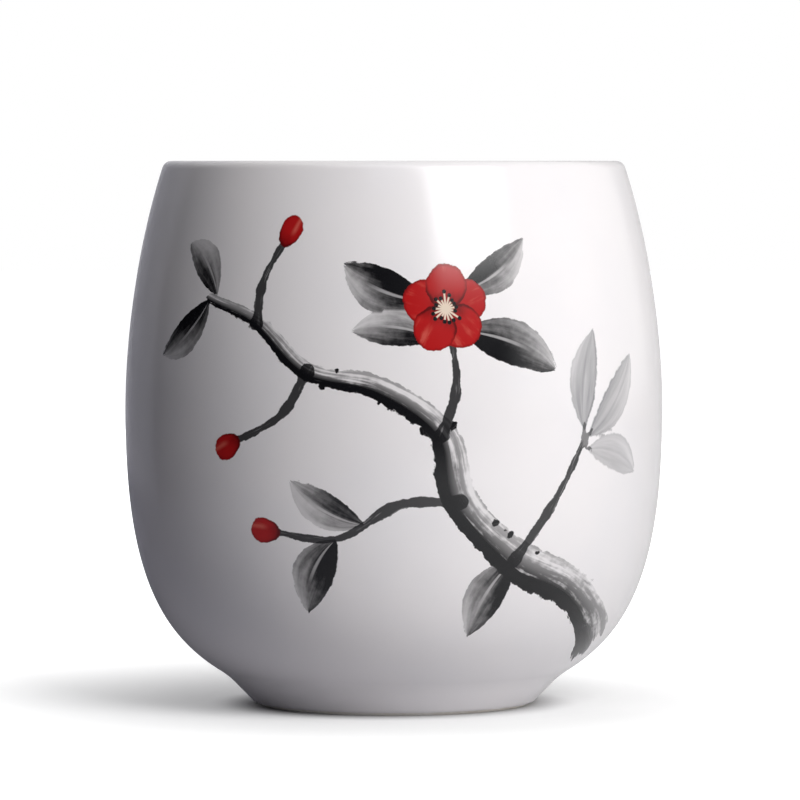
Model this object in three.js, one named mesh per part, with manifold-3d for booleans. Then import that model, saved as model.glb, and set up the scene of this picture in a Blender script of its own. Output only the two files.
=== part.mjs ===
// A handleless porcelain tea cup: a biscuit bowl on a foot ring, its three coats of glaze, and a camellia
// branch painted over the glaze in raised enamel. Millimetres, +Z up: the axis is Z and it stands on z = 0.
// The painted side faces -Y.
import * as THREE from "three";
import { mergeVertices } from "three/addons/utils/BufferGeometryUtils.js";
import Module from "manifold-3d";

// Wall of the finished cup, outside
const CUP_HEIGHT = 75;
const LIP_CREST_DIAMETER = 61.2;
const LIP_THICKNESS = 2.8;
const LIP_LEAN_DEG = 18; // how far the wall leans in at the lip
const BELLY_DIAMETER = 74.2;
const BELLY_HEIGHT = 40.5;
const SHOULDER_FULLNESS = 12.3; // how far the wall keeps upright above the belly
const SHOULDER_SWEEP = 9; // how far it keeps the lip's lean below the lip
const HIP_FULLNESS = 22.5; // how far the wall keeps upright below the belly
const HIP_SWEEP = 9.4; // how far it keeps the foot's slope outside the foot
const HIP_SLOPE_DEG = 32;

// Wall of the finished cup, inside
const WALL_THICKNESS = 3.2; // at the belly
const FLOOR_THICKNESS = 3.6;
const FLOOR_DIAMETER = 30; // the flat of the floor
const INNER_SHOULDER_FULLNESS = 12.3;
const INNER_SHOULDER_SWEEP = 9;
const INNER_HIP_FULLNESS = 23;
const INNER_HIP_SWEEP = 12;

// Foot ring
const FOOT_DIAMETER = 45.9; // where the hip meets the ring
const FOOT_HEIGHT = 4;
const FOOT_TAPER_DEG = 44;
const FOOT_FILLET = 1.5; // length of wall that the crease above the ring takes up on each side
const LAND_WIDTH = 2; // the flat that the cup stands on
const LAND_OUTER_ROUND = 0.7;
const LAND_INNER_ROUND = 0.6;
const WELL_DRAFT_DEG = 10;

// Glaze
const GLAZE_THICKNESS = 0.3;
const GLAZE_STOP_HEIGHT = 0.5; // the ring is wiped bare below this
const SEAM = 0.02; // between one fired layer and the next

// Enamel painting
const ENAMEL_THICKNESS = 0.12;
const ENAMEL_GAP = 0.3; // bare glaze left between two patches
const PAINTED_DEPTH = 13; // how far in from the belly the painted wall goes
const CUTTER_SPARE = 3; // how far a cutter stands out beyond the belly, so that its flat facets stay clear
const BOUGH_BASE_WIDTH = 7.5;
const BOUGH_TIP_WIDTH = 1.3;
const TWIG_BASE_WIDTH = 1.8;
const TWIG_TIP_WIDTH = 0.8;
const BLOSSOM_RADIUS = 6;
const PETAL_NOTCH = 1.6; // how deep the outline cuts in between two petals
const BUD_LENGTH = 4.6;
const BUD_WIDTH = 3.4;
const BROAD_LEAF_WIDTH = 6.2;
const NARROW_LEAF_WIDTH = 5;
const LEAF_BOW = 1.2; // how far a leaf's midrib bows aside

// Facets
const FACETS_AROUND = 44;
const LIP_STEPS = 3;
const SHOULDER_STEPS = 5;
const HIP_STEPS = 8;
const FILLET_STEPS = 2; // even, because the bowl ends and the ring starts at the middle of the crease
const INNER_SHOULDER_STEPS = 4;
const INNER_HIP_STEPS = 6;
const EDGE_STEPS = 2;
const BOUGH_STEPS = 24;
const TWIG_STEPS = 8;
const PETAL_STEPS = 5;
const LEAF_STEPS = 7;
const BUD_STEPS = 7;

// Places on the wall: degrees round from the front, and the share of the way up from the table to the crest
const BOUGH_PLACES = [
  [62, 0.14],
  [44, 0.235],
  [27, 0.295],
  [14, 0.4],
  [10, 0.52],
  [-3, 0.6],
  [-18, 0.63],
  [-30, 0.715],
  [-43, 0.755],
];
// Each twig leaves the bough at one of its places, counted from the base, and ends in a flower, a bud or
// leaves
const TWIGS = [
  { from: 4, places: [[13, 0.61], [11, 0.74]], tip: "blossom" },
  { from: 6, places: [[-24, 0.55], [-36.5, 0.495]], tip: "bud" },
  { from: 3, places: [[1, 0.395], [-12, 0.335], [-28, 0.347]], tip: "bud" },
  { from: 7, places: [[-29, 0.79], [-23.5, 0.875]], tip: "bud" },
  { from: 2, places: [[36, 0.4], [43, 0.5]], tip: "leaves" },
];
// Each leaf runs from beside its twig to its tip; a bow of 1 is to the left of that way, -1 to the right
const INK_LEAVES = [
  { base: [14, 0.7], tip: [36, 0.63], width: BROAD_LEAF_WIDTH, bow: 1 },
  { base: [14, 0.77], tip: [30, 0.865], width: NARROW_LEAF_WIDTH, bow: -1 },
  { base: [7, 0.755], tip: [-11, 0.82], width: BROAD_LEAF_WIDTH, bow: 1 },
  { base: [9, 0.685], tip: [-9, 0.7], width: NARROW_LEAF_WIDTH, bow: -1 },
  { base: [-43, 0.755], tip: [-58, 0.65], width: NARROW_LEAF_WIDTH, bow: 1 },
  { base: [-41, 0.76], tip: [-52, 0.855], width: NARROW_LEAF_WIDTH, bow: -1 },
  { base: [-12, 0.335], tip: [-20, 0.2], width: BROAD_LEAF_WIDTH, bow: -1 },
  { base: [-6, 0.36], tip: [-22, 0.44], width: NARROW_LEAF_WIDTH, bow: 1 },
  { base: [27, 0.295], tip: [18, 0.155], width: BROAD_LEAF_WIDTH, bow: -1 },
];
const PALE_LEAVES = [
  { base: [44.3, 0.508], tip: [60, 0.655], width: NARROW_LEAF_WIDTH, bow: -1 },
  { base: [44.2, 0.487], tip: [62, 0.44], width: NARROW_LEAF_WIDTH, bow: 1 },
  { base: [43.2, 0.521], tip: [47, 0.7], width: NARROW_LEAF_WIDTH, bow: 1 },
];
const LEAF_HANDLES = [0.3, 0.74]; // shares of a leaf's length where its sides are pulled out
const PETALS = 5;
const PETAL_BULGE_DEG = 30; // how far to each side of its middle a petal stays full
const BLOSSOM_TURN_DEG = 20;

// Colours
const BISCUIT_WHITE = 0xe9e5dc;
const GLAZE_WHITE = 0xf4f3f0;
const INK_BLACK = 0x26262a;
const ENAMEL_RED = 0xb3201f;
const WASH_GREY = 0x9c9c9e;
const BISCUIT_ROUGHNESS = 0.75;
const GLAZE_ROUGHNESS = 0.08;
const ENAMEL_ROUGHNESS = 0.25;

const lipRadius = LIP_THICKNESS / 2;
const lipLean = THREE.MathUtils.degToRad(LIP_LEAN_DEG);
const hipSlope = THREE.MathUtils.degToRad(HIP_SLOPE_DEG);
const footTaper = THREE.MathUtils.degToRad(FOOT_TAPER_DEG);
const bellyRadius = BELLY_DIAMETER / 2;

const wasm = await Module();
wasm.setup();

// Stations along a wall

function vector(radius, height) {
  return new THREE.Vector2(radius, height);
}

// Points along a curve that runs down the wall, each with the direction into the clay, which lies to the
// right (1) or to the left (-1) of the way down.
function stationsOn(curve, steps, claySide, firstStep = 0) {
  const stations = [];
  for (let i = firstStep; i <= steps; i++) {
    const tangent = curve.getTangent(i / steps);
    const inward = vector(tangent.y, -tangent.x).multiplyScalar(claySide);
    stations.push({ point: curve.getPoint(i / steps), inward });
  }
  return stations;
}

function sunk(stations, depth) {
  return stations.map(({ point, inward }) => point.clone().addScaledVector(inward, depth));
}

// A quarter of the lip's round, from beside its crest down to where the wall is tangent to it.
function lipArc(endAngle) {
  const clockwise = endAngle < Math.PI / 2;
  const seamTurn = (clockwise ? -SEAM : SEAM) / LIP_THICKNESS;
  return new THREE.EllipseCurve(
    LIP_CREST_DIAMETER / 2,
    CUP_HEIGHT - lipRadius,
    lipRadius,
    lipRadius,
    Math.PI / 2 + seamTurn,
    endAngle,
    clockwise,
  );
}

// A wall from the lip down to the belly, tangent to the lip at the top and upright at the belly.
function shoulderCurve(top, belly, sweep, fullness) {
  return new THREE.CubicBezierCurve(
    top,
    vector(top.x + sweep * Math.sin(lipLean), top.y - sweep * Math.cos(lipLean)),
    vector(belly.x, belly.y + fullness),
    belly,
  );
}

// The outside: lip, shoulder, hip, the crease above the foot, and the ring's side down to the bare land.
const footJoin = vector(FOOT_DIAMETER / 2, FOOT_HEIGHT);
const hipRun = vector(Math.cos(hipSlope), Math.sin(hipSlope));
const footRun = vector(-Math.sin(footTaper), -Math.cos(footTaper));
const creaseTop = footJoin.clone().addScaledVector(hipRun, FOOT_FILLET);
const creaseFoot = footJoin.clone().addScaledVector(footRun, FOOT_FILLET);
const glazedDrop = FOOT_HEIGHT - GLAZE_STOP_HEIGHT;
const glazeStop = vector(footJoin.x - glazedDrop * Math.tan(footTaper), GLAZE_STOP_HEIGHT);
const outerLip = lipArc(lipLean);
const outerBelly = vector(bellyRadius, BELLY_HEIGHT);
const outerShoulder = shoulderCurve(outerLip.getPoint(1), outerBelly, SHOULDER_SWEEP, SHOULDER_FULLNESS);
const outerHip = new THREE.CubicBezierCurve(
  outerBelly,
  vector(bellyRadius, BELLY_HEIGHT - HIP_FULLNESS),
  creaseTop.clone().addScaledVector(hipRun, HIP_SWEEP),
  creaseTop,
);
const crease = new THREE.QuadraticBezierCurve(creaseTop, footJoin, creaseFoot);
const ringSide = new THREE.LineCurve(creaseFoot, glazeStop);

const lipStations = stationsOn(outerLip, LIP_STEPS, 1);
const shoulderStations = stationsOn(outerShoulder, SHOULDER_STEPS, 1, 1);
const hipStations = stationsOn(outerHip, HIP_STEPS, 1, 1);
const creaseStations = stationsOn(crease, FILLET_STEPS, 1, 1);
const sideStations = stationsOn(ringSide, 1, 1, 1);
const bowlOutside = [
  ...lipStations,
  ...shoulderStations,
  ...hipStations,
  ...creaseStations.slice(0, FILLET_STEPS / 2),
];
const ringOutside = [...creaseStations.slice(FILLET_STEPS / 2 - 1), ...sideStations];
const outside = [...bowlOutside, ...ringOutside.slice(1)];

// The inside: lip, shoulder, hip and the flat floor.
const floorHeight = FOOT_HEIGHT + FLOOR_THICKNESS;
const floorEdge = vector(FLOOR_DIAMETER / 2, floorHeight);
const innerLip = lipArc(Math.PI + lipLean);
const innerBelly = vector(bellyRadius - WALL_THICKNESS, BELLY_HEIGHT);
const innerShoulder = shoulderCurve(
  innerLip.getPoint(1),
  innerBelly,
  INNER_SHOULDER_SWEEP,
  INNER_SHOULDER_FULLNESS,
);
const innerHip = new THREE.CubicBezierCurve(
  innerBelly,
  vector(innerBelly.x, BELLY_HEIGHT - INNER_HIP_FULLNESS),
  vector(floorEdge.x + INNER_HIP_SWEEP, floorHeight),
  floorEdge,
);
const floor = new THREE.LineCurve(floorEdge, vector(0, floorHeight));
const inside = [
  ...stationsOn(innerLip, LIP_STEPS, -1),
  ...stationsOn(innerShoulder, INNER_SHOULDER_STEPS, -1, 1),
  ...stationsOn(innerHip, INNER_HIP_STEPS, -1, 1),
  ...stationsOn(floor, 1, -1, 1),
];

// Solids of revolution

// A profile in radius and height, closed on itself and counter-clockwise, turned about Z.
function turned(profile) {
  const geometry = new THREE.LatheGeometry([...profile, profile[0]], FACETS_AROUND);
  geometry.rotateX(Math.PI / 2);
  return geometry;
}

const biscuitOutside = sunk(bowlOutside, GLAZE_THICKNESS + SEAM);
const biscuitInside = sunk(inside, GLAZE_THICKNESS + SEAM);
const lutingHeight = biscuitOutside.at(-1).y;

function porcelainBowl() {
  return turned([vector(0, lutingHeight), ...biscuitOutside.toReversed(), ...biscuitInside]);
}

function outerGlaze() {
  return turned([...outside.map(({ point }) => point).toReversed(), ...sunk(outside, GLAZE_THICKNESS)]);
}

function innerGlaze() {
  return turned([...inside.map(({ point }) => point), ...sunk(inside, GLAZE_THICKNESS).toReversed()]);
}

// The ring's land and its inner wall, which leans in as it rises to the bowl.
const landOuter = footJoin.x - FOOT_HEIGHT * Math.tan(footTaper) - LAND_OUTER_ROUND;
const landInner = landOuter - LAND_WIDTH;
const wellFoot = vector(landInner - LAND_INNER_ROUND, LAND_INNER_ROUND);
const wellRise = lutingHeight - wellFoot.y;
const wellLean = wellRise * Math.tan(THREE.MathUtils.degToRad(WELL_DRAFT_DEG));
const wellTop = vector(wellFoot.x - wellLean, lutingHeight);

function footRing() {
  const side = sunk(ringOutside, GLAZE_THICKNESS + SEAM);
  const bareEdge = side.at(-1);
  const outerRound = new THREE.QuadraticBezierCurve(
    vector(landOuter, 0),
    vector(landOuter + LAND_OUTER_ROUND / 2, 0),
    bareEdge,
  );
  const innerRound = new THREE.QuadraticBezierCurve(wellFoot, vector(wellFoot.x, 0), vector(landInner, 0));
  return turned([
    wellTop,
    ...innerRound.getPoints(EDGE_STEPS),
    ...outerRound.getPoints(EDGE_STEPS).slice(0, -1),
    ...side.toReversed(),
  ]);
}

// A glazed island: a disc under the bowl with a skirt down the ring's inner wall.
function footWellGlaze() {
  const stopShare = (lutingHeight - GLAZE_STOP_HEIGHT) / wellRise;
  const skirtTop = wellTop.x - SEAM;
  const skirtFoot = skirtTop + wellLean * stopShare;
  const discFoot = lutingHeight - GLAZE_THICKNESS;
  return turned([
    vector(0, lutingHeight),
    vector(0, discFoot),
    vector(skirtTop - GLAZE_THICKNESS, discFoot),
    vector(skirtFoot - GLAZE_THICKNESS, GLAZE_STOP_HEIGHT),
    vector(skirtFoot, GLAZE_STOP_HEIGHT),
    vector(skirtTop, lutingHeight),
  ]);
}

// Enamel painting

function toSolid(geometry) {
  const bare = geometry.clone();
  bare.deleteAttribute("normal");
  bare.deleteAttribute("uv");
  const merged = mergeVertices(bare);
  const vertProperties = merged.getAttribute("position").array;
  const triVerts = new Uint32Array(merged.index.array);
  return new wasm.Manifold(new wasm.Mesh({ numProp: 3, vertProperties, triVerts }));
}

function toGeometry(solid) {
  const mesh = solid.getMesh();
  const geometry = new THREE.BufferGeometry();
  geometry.setAttribute("position", new THREE.BufferAttribute(mesh.vertProperties, mesh.numProp));
  geometry.setIndex(new THREE.BufferAttribute(mesh.triVerts, 1));
  geometry.computeVertexNormals();
  return geometry;
}

// The coat that every painted patch is cut from: it lies on the glaze, facet by facet, from lip to hip.
function enamelCoat() {
  const wall = [lipStations.at(-1), ...shoulderStations, ...hipStations];
  return toSolid(turned([...sunk(wall, -SEAM - ENAMEL_THICKNESS).toReversed(), ...sunk(wall, -SEAM)]));
}

// A flat outline, drawn as the wall is unrolled at the belly, raised into a cutter that bends round the axis
// and reaches from inside the painted wall to outside it.
function bentCutter(shape, curveSegments = PETAL_STEPS) {
  const settings = { depth: PAINTED_DEPTH + CUTTER_SPARE, bevelEnabled: false, curveSegments };
  const geometry = new THREE.ExtrudeGeometry(shape, settings);
  const position = geometry.getAttribute("position");
  for (let i = 0; i < position.count; i++) {
    const angle = position.getX(i) / bellyRadius;
    const radius = bellyRadius - PAINTED_DEPTH + position.getZ(i);
    position.setXYZ(i, radius * Math.sin(angle), -radius * Math.cos(angle), position.getY(i));
  }
  return toSolid(geometry);
}

function onWall([turnDeg, rise]) {
  return vector(bellyRadius * THREE.MathUtils.degToRad(turnDeg), CUP_HEIGHT * rise);
}

// One brush stroke: a tapering band to both sides of a curve.
function strokeShape(curve, baseWidth, tipWidth, steps) {
  const left = [];
  const right = [];
  for (let i = 0; i <= steps; i++) {
    const tangent = curve.getTangent(i / steps);
    const halfWidth = THREE.MathUtils.lerp(baseWidth, tipWidth, i / steps) / 2;
    const across = vector(-tangent.y, tangent.x).multiplyScalar(halfWidth);
    left.push(curve.getPoint(i / steps).add(across));
    right.unshift(curve.getPoint(i / steps).sub(across));
  }
  return new THREE.Shape([...left, ...right]);
}

// A flower seen from the front: round petals that meet in notches. A cubic's middle is an eighth of its two
// ends and three times its two handles, so the handles' reach puts each petal's tip on the radius.
function blossomShape(centre, radius, turn) {
  const notchRadius = radius - PETAL_NOTCH;
  const petalTurn = (2 * Math.PI) / PETALS;
  const bulge = THREE.MathUtils.degToRad(PETAL_BULGE_DEG);
  const fullRadius = (8 * radius - 2 * notchRadius * Math.cos(petalTurn / 2)) / (6 * Math.cos(bulge));
  const at = (angle, reach) => vector(centre.x + reach * Math.cos(angle), centre.y + reach * Math.sin(angle));
  const shape = new THREE.Shape();
  const start = at(turn - petalTurn / 2, notchRadius);
  shape.moveTo(start.x, start.y);
  for (let petal = 0; petal < PETALS; petal++) {
    const middle = turn + petal * petalTurn;
    const first = at(middle - bulge, fullRadius);
    const second = at(middle + bulge, fullRadius);
    const notch = at(middle + petalTurn / 2, notchRadius);
    shape.bezierCurveTo(first.x, first.y, second.x, second.y, notch.x, notch.y);
  }
  return shape;
}

// A bud: an oval that goes on the way its twig was going.
function budShape(centre, heading, spare) {
  const outline = new THREE.EllipseCurve(
    centre.x,
    centre.y,
    BUD_LENGTH / 2 + spare,
    BUD_WIDTH / 2 + spare,
    0,
    2 * Math.PI,
    false,
    heading,
  );
  return new THREE.Shape(outline.getPoints(2 * BUD_STEPS).slice(1));
}

// A leaf: a pointed oval. A cubic's middle lies three quarters of the way out to its handles.
function leafShape({ base, tip, width, bow }, spare) {
  const start = onWall(base);
  const end = onWall(tip);
  const along = end.clone().sub(start).normalize();
  const across = vector(-along.y, along.x);
  start.addScaledVector(along, -2 * spare);
  end.addScaledVector(along, 2 * spare);
  const handle = (share, side) => {
    const aside = ((width / 2 + spare) * side + LEAF_BOW * bow) / 0.75;
    return start.clone().lerp(end, share).addScaledVector(across, aside);
  };
  const [near, far] = LEAF_HANDLES;
  const outward = [handle(near, 1), handle(far, 1)];
  const back = [handle(far, -1), handle(near, -1)];
  const shape = new THREE.Shape();
  shape.moveTo(start.x, start.y);
  shape.bezierCurveTo(outward[0].x, outward[0].y, outward[1].x, outward[1].y, end.x, end.y);
  shape.bezierCurveTo(back[0].x, back[0].y, back[1].x, back[1].y, start.x, start.y);
  return shape;
}

const boughCurve = new THREE.SplineCurve(BOUGH_PLACES.map(onWall));
const twigCurves = TWIGS.map(
  ({ from, places }) => new THREE.SplineCurve([onWall(BOUGH_PLACES[from]), ...places.map(onWall)]),
);

// Each drawing takes the spare width by which a cutter grows to leave bare glaze round the patch.
function tipDrawing(tip, curve) {
  const end = curve.getPoint(1);
  const tangent = curve.getTangent(1);
  if (tip === "blossom") {
    return (spare) => blossomShape(end, BLOSSOM_RADIUS + spare, THREE.MathUtils.degToRad(BLOSSOM_TURN_DEG));
  }
  return (spare) => budShape(end, Math.atan2(tangent.y, tangent.x), spare);
}

function branchCutter(spare) {
  const more = 2 * spare;
  const bough = strokeShape(boughCurve, BOUGH_BASE_WIDTH + more, BOUGH_TIP_WIDTH + more, BOUGH_STEPS);
  let cutter = bentCutter(bough);
  for (const curve of twigCurves) {
    const twig = strokeShape(curve, TWIG_BASE_WIDTH + more, TWIG_TIP_WIDTH + more, TWIG_STEPS);
    cutter = cutter.add(bentCutter(twig));
  }
  return cutter;
}

// The flower and buds lie over the branch, that over the ink leaves, and those over the pale leaves. A lower
// patch is cut clear of the upper ones.
function paintedPatches() {
  const coat = enamelCoat();
  const patches = [];
  let covered = null;
  const lay = (name, cutter, spareCutter) => {
    const free = covered ? cutter.subtract(covered) : cutter;
    patches.push({ name, solid: coat.intersect(free) });
    covered = covered ? covered.add(spareCutter) : spareCutter;
  };
  const layLeaves = (name, leaves) => {
    leaves.forEach((leaf, index) => {
      const cutters = [0, ENAMEL_GAP].map((spare) => bentCutter(leafShape(leaf, spare), LEAF_STEPS));
      lay(`${name}_${index + 1}`, ...cutters);
    });
  };
  const count = { blossom: 0, bud: 0 };
  TWIGS.forEach(({ tip }, index) => {
    if (tip === "leaves") return;
    const drawing = tipDrawing(tip, twigCurves[index]);
    count[tip] += 1;
    lay(`red_${tip}_${count[tip]}`, bentCutter(drawing(0)), bentCutter(drawing(ENAMEL_GAP)));
  });
  lay("ink_branch", branchCutter(0), branchCutter(ENAMEL_GAP));
  layLeaves("ink_leaf", INK_LEAVES);
  layLeaves("pale_leaf", PALE_LEAVES);
  return patches;
}

// The cup

function finish(color, roughness) {
  return new THREE.MeshStandardMaterial({ color, roughness, metalness: 0 });
}

const cup = new THREE.Group();

function addPiece(name, geometry, material) {
  const mesh = new THREE.Mesh(geometry, material);
  mesh.name = name;
  cup.add(mesh);
}

addPiece("porcelain_bowl", porcelainBowl(), finish(BISCUIT_WHITE, BISCUIT_ROUGHNESS));
addPiece("foot_ring", footRing(), finish(BISCUIT_WHITE, BISCUIT_ROUGHNESS));
addPiece("outer_glaze", outerGlaze(), finish(GLAZE_WHITE, GLAZE_ROUGHNESS));
addPiece("inner_glaze", innerGlaze(), finish(GLAZE_WHITE, GLAZE_ROUGHNESS));
addPiece("foot_well_glaze", footWellGlaze(), finish(GLAZE_WHITE, GLAZE_ROUGHNESS));
const enamelColours = { red: ENAMEL_RED, pale: WASH_GREY, ink: INK_BLACK };
for (const { name, solid } of paintedPatches()) {
  addPiece(name, toGeometry(solid), finish(enamelColours[name.split("_")[0]], ENAMEL_ROUGHNESS));
}

export default cup;
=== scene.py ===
"""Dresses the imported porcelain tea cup: shells of glaze turned on the wheel, a camellia branch painted in
ink and red enamel, soft studio light, a pale floor and the photograph's camera. The cup's lengths are
millimetres until MM turns them to Blender's metres, and the studio's are metres."""

import logging
import math
from collections.abc import Sequence
from dataclasses import dataclass, field
from enum import Enum
from functools import partialmethod

import bpy
import numpy as np
from mathutils import Euler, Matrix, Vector


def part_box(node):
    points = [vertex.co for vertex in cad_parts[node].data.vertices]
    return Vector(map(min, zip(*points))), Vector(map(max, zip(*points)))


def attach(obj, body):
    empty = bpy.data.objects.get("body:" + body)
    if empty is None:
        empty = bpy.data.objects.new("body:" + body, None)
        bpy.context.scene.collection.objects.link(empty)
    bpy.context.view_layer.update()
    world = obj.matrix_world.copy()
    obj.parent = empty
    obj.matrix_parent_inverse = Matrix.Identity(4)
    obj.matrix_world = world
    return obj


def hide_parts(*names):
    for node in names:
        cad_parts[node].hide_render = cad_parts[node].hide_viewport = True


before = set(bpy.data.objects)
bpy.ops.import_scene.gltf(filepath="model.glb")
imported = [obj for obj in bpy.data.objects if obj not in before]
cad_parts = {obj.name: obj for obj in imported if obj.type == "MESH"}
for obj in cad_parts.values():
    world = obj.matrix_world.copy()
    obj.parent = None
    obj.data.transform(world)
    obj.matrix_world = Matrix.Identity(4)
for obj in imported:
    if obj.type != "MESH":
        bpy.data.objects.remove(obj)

LOG = logging.getLogger("tea_cup")
MM = 0.001
BODY = "root"
SHARP_ANGLE = math.radians(40)
WELD_DISTANCE = 1e-6
CERAMIC_IOR = 1.5
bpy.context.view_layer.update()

Inputs = dict[str | int, object]
Tree = bpy.types.NodeTree
Socket = bpy.types.NodeSocket
Material = bpy.types.Material
Piece = bpy.types.Object


class Slot(Enum):
    """Names of the material slots."""

    BISCUIT = "biscuit_porcelain"
    GLAZE = "white_glaze"


class Layer(Enum):
    """The painter's layers, from the glaze up, as the first word of each attribute's name."""

    WASH = "wash"
    LEAF = "leaf"
    BOUGH = "bough"
    LINE = "line"
    BUD = "bud"
    BLOOM = "bloom"


def linear(code: str) -> tuple[float, float, float, float]:
    """Turns an sRGB hex colour into linear light.

    Args:
        code: Six hex digits after a number sign.

    Returns:
        Red, green, blue and an alpha of one.
    """
    parts = [int(code[i : i + 2], 16) / 255 for i in (1, 3, 5)]
    red, green, blue = [p / 12.92 if p <= 0.04045 else ((p + 0.055) / 1.055) ** 2.4 for p in parts]
    return red, green, blue, 1.0


def add_node(tree: Tree, kind: str, inputs: Inputs | None = None, **options: object) -> bpy.types.Node:
    """Adds one node to a tree.

    Args:
        tree: The shader or geometry tree.
        kind: The node's type name.
        inputs: What goes into its inputs, by name or place: a socket or a signal to link, or a constant.
        options: The node's own settings.

    Returns:
        The new node.
    """
    node = tree.nodes.new(kind)
    for name, value in options.items():
        setattr(node, name, value)
    for key, value in (inputs or {}).items():
        source = value.socket if isinstance(value, Signal) else value
        if isinstance(source, Socket):
            tree.links.new(source, node.inputs[key])
        else:
            node.inputs[key].default_value = source
    return node


@dataclass(frozen=True)
class Signal:
    """A number that flows through a node tree; arithmetic on it adds Math nodes."""

    tree: Tree
    socket: Socket

    @classmethod
    def of(cls, tree: Tree, kind: str, inputs: Inputs, output: str | int = 0, **options: object) -> "Signal":
        """Adds a node and takes the number from one of its outputs."""
        return cls(tree, add_node(tree, kind, inputs, **options).outputs[output])

    def math(self, operation: str, *others: "Signal | float") -> "Signal":
        """Adds a Math node that takes this number first."""
        inputs = dict(enumerate((self, *others)))
        return Signal.of(self.tree, "ShaderNodeMath", inputs, operation=operation)

    __add__ = partialmethod(math, "ADD")
    __sub__ = partialmethod(math, "SUBTRACT")
    __mul__ = partialmethod(math, "MULTIPLY")
    __truediv__ = partialmethod(math, "DIVIDE")

    def ramp(self, low: float, high: float) -> "Signal":
        """Rises smoothly from 0 where this number is low to 1 where it is high."""
        inputs = {"Value": self, "From Min": low, "From Max": high}
        return Signal.of(self.tree, "ShaderNodeMapRange", inputs, interpolation_type="SMOOTHSTEP")


def bare_tree(owner: Material | bpy.types.World) -> Tree:
    """Empties the node tree of a material or a world.

    Args:
        owner: The material or the world.

    Returns:
        Its tree.
    """
    owner.use_nodes = True
    owner.node_tree.nodes.clear()
    return owner.node_tree


def new_material(name: str) -> tuple[Material, Tree]:
    """Makes a material with an empty node tree."""
    material = bpy.data.materials.new(name)
    return material, bare_tree(material)


def own_place(tree: Tree) -> Socket:
    """Gives the object's own coordinates, in metres."""
    return add_node(tree, "ShaderNodeTexCoord").outputs["Object"]


def mix(share: Signal, *colours: Socket | str) -> Socket:
    """Mixes two colours.

    Args:
        share: 0 for the first, 1 for the second.
        colours: The two, each a socket or a hex code.

    Returns:
        The mixed colour.
    """
    first, second = (linear(colour) if isinstance(colour, str) else colour for colour in colours)
    inputs = {0: share, 6: first, 7: second}
    return add_node(share.tree, "ShaderNodeMix", inputs, data_type="RGBA").outputs[2]


def noise(tree: Tree, size_mm: float, detail: float, way: Socket | None = None) -> Signal:
    """Adds noise with cells of a real size.

    Args:
        tree: The shader tree.
        size_mm: The size of its largest cells.
        detail: How many finer octaves.
        way: A vector in millimetres; the object's own coordinates if left out.

    Returns:
        Values about 0.5.
    """
    unit = 1.0
    if way is None:
        way, unit = own_place(tree), MM
    inputs = {"Vector": way, "Scale": 1.0 / (size_mm * unit), "Detail": detail, "Roughness": 0.55}
    return Signal.of(tree, "ShaderNodeTexNoise", inputs)


def fire(tree: Tree, colour: Socket, roughness: Signal, relief_mm: Signal) -> None:
    """Ends a ceramic's tree with its shader.

    Args:
        tree: The shader tree.
        colour: The surface's colour.
        roughness: Its roughness.
        relief_mm: The height of its relief in millimetres.
    """
    bump = add_node(tree, "ShaderNodeBump", {"Height": relief_mm * MM, "Distance": 1.0, "Strength": 1.0})
    inputs = {"Base Color": colour, "Roughness": roughness, "IOR": CERAMIC_IOR, "Normal": bump.outputs[0]}
    shader = add_node(tree, "ShaderNodeBsdfPrincipled", inputs)
    add_node(tree, "ShaderNodeOutputMaterial", {"Surface": shader.outputs[0]})


def add_object(name: str, data: bpy.types.ID) -> Piece:
    """Adds an object to the scene, at the origin.

    Args:
        name: Its name.
        data: Its mesh, lamp or camera.

    Returns:
        The object.
    """
    piece = bpy.data.objects.new(name, data)
    bpy.context.collection.objects.link(piece)
    return piece


# Form of the cup

Stretch = tuple[np.ndarray, np.ndarray]


def bezier(corners: Sequence[Sequence[float]], steps: int) -> Stretch:
    """Samples a Bezier curve of any degree.

    Args:
        corners: Its control points, as radius and height.
        steps: How many stretches to cut it into.

    Returns:
        The points, and the unit tangents at them.
    """
    control = np.asarray(corners, float)
    share = np.linspace(0.0, 1.0, steps + 1)[:, None]

    def blend(points: np.ndarray) -> np.ndarray:
        """Weighs points by the Bernstein polynomials."""
        top = len(points) - 1
        weights = (math.comb(top, k) * share**k * (1 - share) ** (top - k) for k in range(top + 1))
        return sum(weight * point for weight, point in zip(weights, points))

    slope = blend(np.diff(control, axis=0))
    return blend(control), slope / np.linalg.norm(slope, axis=1, keepdims=True)


@dataclass(frozen=True)
class Wall:
    """Stations down one face of the cup, each with the direction into the clay."""

    points: np.ndarray
    inward: np.ndarray

    @classmethod
    def join(cls, stretches: Sequence[Stretch], clay_side: float) -> "Wall":
        """Joins stretches that follow on from each other.

        Args:
            stretches: Points and tangents of each.
            clay_side: 1 where the clay lies to the right of the way down, -1 where it lies to the left.

        Returns:
            One wall with no doubled stations.
        """
        points = np.vstack([p[min(i, 1) :] for i, (p, _) in enumerate(stretches)])
        tangents = np.vstack([t[min(i, 1) :] for i, (_, t) in enumerate(stretches)])
        return cls(points, clay_side * np.column_stack((tangents[:, 1], -tangents[:, 0])))

    def sunk(self, depth: float) -> np.ndarray:
        """Gives the wall's points moved into the clay by a depth."""
        return self.points + depth * self.inward

    def upward(self, depth: float = 0.0) -> np.ndarray:
        """Gives the points from the bottom up, moved into the clay by a depth."""
        return self.sunk(depth)[::-1]


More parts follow.
